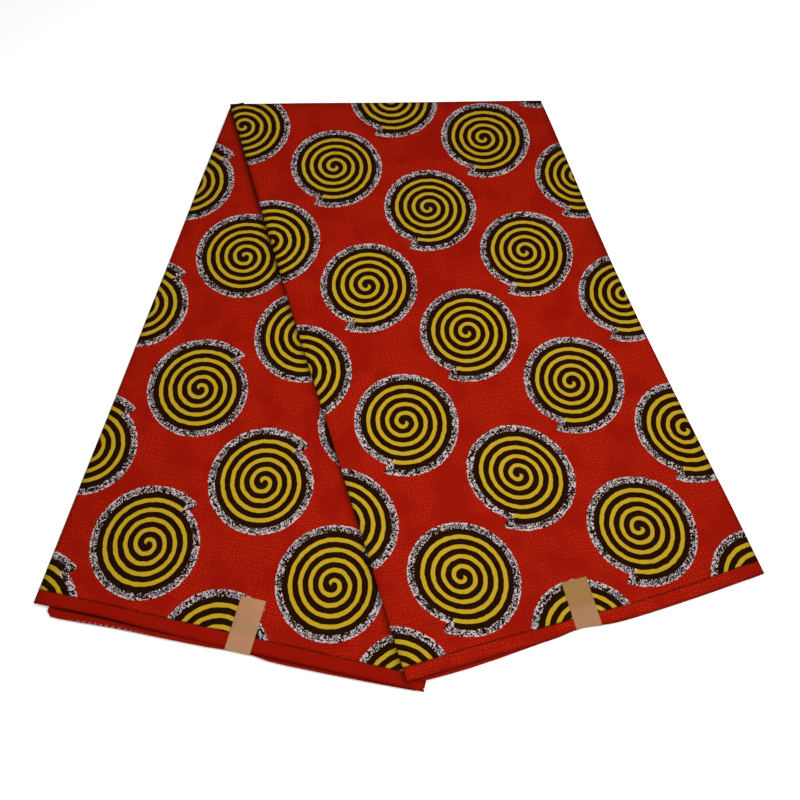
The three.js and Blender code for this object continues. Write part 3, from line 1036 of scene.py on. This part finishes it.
class CLOTH_OT_fold_layers(bpy.types.Operator):
    """Add the folded layers under both faces, whose rounded edges show round the pack"""

    bl_idname = "cloth.fold_layers"
    bl_label = "Folded layers"

    def execute(self, context):
        fan = Fan()
        material = cloth_material("printed_cloth_layers", border_strength=0.4)
        for panel in ("under", "over"):
            rows = [row for row in STACKS if row["panel"] == panel]
            layers = [stack_layer(fan, row, k) for row in rows for k in range(row["count"])]
            piece = stack_piece(fan, panel, "fold_layers_" + panel, layers, material)
            settle(piece, "hidden_layers")
            width = fan.stacks[panel].side(HEM)[2]
            fan.stacks[panel].area() / width
        return {"FINISHED"}


class CLOTH_OT_second_layers(bpy.types.Operator):
    """Add the second layers that peek out below both hems"""

    bl_idname = "cloth.second_layers"
    bl_label = "Second layers"

    def execute(self, context):
        fan = Fan()
        for layer in SECOND_LAYERS:
            name = layer["name"]
            points, place, from_hem, dark = second_layer(fan, layer)
            material = cloth_material(name + "_print", border_strength=0.25, pins=layer["pins"], shade=0.93)
            values = {"from_hem": from_hem, "gap": dark}
            piece = cloth_piece(name, points, place, values, fan.sizes.cloth, material)
            settle(piece, layer["node"])
            run = (layer["peek"][-1][0] - layer["peek"][0][0]) * MM
        return {"FINISHED"}


class CLOTH_OT_paper_bands(bpy.types.Operator):
    """Add the plain paper bands stuck round both hems"""

    bl_idname = "cloth.paper_bands"
    bl_label = "Paper bands"

    def execute(self, context):
        fan = Fan()
        for band in BANDS:
            points, place = band_points(fan, band)
            values = {"from_hem": place[..., 1]}
            piece = cloth_piece(band["name"] + "_strip", points, place, values, PAPER, paper_material(band))
            settle(piece, band["name"])
        return {"FINISHED"}


class CLOTH_OT_stage(bpy.types.Operator):
    """Add the floor, the lights, the even sky and the camera"""

    bl_idname = "cloth.stage"
    bl_label = "Stage"

    def execute(self, context):
        s = settings().stage
        corners = FLOOR_HALF * np.array([(-1, -1, 0), (1, -1, 0), (1, 1, 0), (-1, 1, 0)])
        floor = add_object("pale_floor", corners, np.array([[0, 1, 2, 3]]), material=floor_material())
        for row in LIGHTS:
            self.light(row, getattr(s, row["name"] + "_power"))
        world = bpy.data.worlds.new("even_sky")
        world.use_nodes = True
        sky = world.node_tree.nodes["Background"].inputs
        sky["Color"].default_value = (1.0, 1.0, 1.0, 1.0)
        sky["Strength"].default_value = s.sky
        scene = context.scene
        scene.world = world
        scene.view_settings.view_transform = "Standard"
        scene.view_settings.look = "None"
        data = bpy.data.cameras.new("photo_camera")
        data.sensor_width = 36.0
        data.lens = s.lens
        data.clip_start = 0.01
        camera = bpy.data.objects.new("photo_camera", data)
        scene.collection.objects.link(camera)
        forward = Vector((0.0, math.cos(s.tilt), -math.sin(s.tilt)))
        right = Vector((1.0, 0.0, 0.0))
        down = forward.cross(right)
        image_x = right * math.cos(s.roll) + down * math.sin(s.roll)
        image_y = down * math.cos(s.roll) - right * math.sin(s.roll)
        turned = Matrix((image_x, -image_y, -forward)).transposed()
        camera.matrix_world = Matrix.Translation(Vector(s.camera_place)) @ turned.to_4x4()
        scene.camera = camera
        return {"FINISHED"}

    @staticmethod
    def light(row, power):
        data = bpy.data.lights.new(row["name"], "AREA")
        data.shape = "DISK"
        data.size = row["size"]
        data.energy = power
        lamp = bpy.data.objects.new(row["name"], data)
        bpy.context.scene.collection.objects.link(lamp)
        lamp.location = row["place"]
        way = Vector(row["aim"]) - Vector(row["place"])
        lamp.rotation_euler = way.to_track_quat("-Z", "Y").to_euler()


OPERATORS = (
    CLOTH_OT_stage,
    CLOTH_OT_under_panel,
    CLOTH_OT_over_panel,
    CLOTH_OT_second_layers,
    CLOTH_OT_fold_layers,
    CLOTH_OT_paper_bands,
)


class CLOTH_PT_panel(bpy.types.Panel):
    """Lists the pieces of the folded cloth"""

    bl_label = "Folded cloth"
    bl_idname = "CLOTH_PT_panel"
    bl_space_type = "VIEW_3D"
    bl_region_type = "UI"
    bl_category = "Cloth"

    def draw(self, context):
        for piece in OPERATORS:
            self.layout.operator(piece.bl_idname)


CLASSES = (FanSizes, PrintSizes, Finishes, StageSettings, ClothSettings, *OPERATORS, CLOTH_PT_panel)


def register():
    for cls in CLASSES:
        bpy.utils.register_class(cls)
    bpy.types.Scene.folded_cloth = PointerProperty(type=ClothSettings)


def unregister():
    del bpy.types.Scene.folded_cloth
    for cls in reversed(CLASSES):
        bpy.utils.unregister_class(cls)


def main():
    register()
    for piece in OPERATORS:
        group, name = piece.bl_idname.split(".")
        getattr(getattr(bpy.ops, group), name)()


if __name__ == "__main__":
    main()
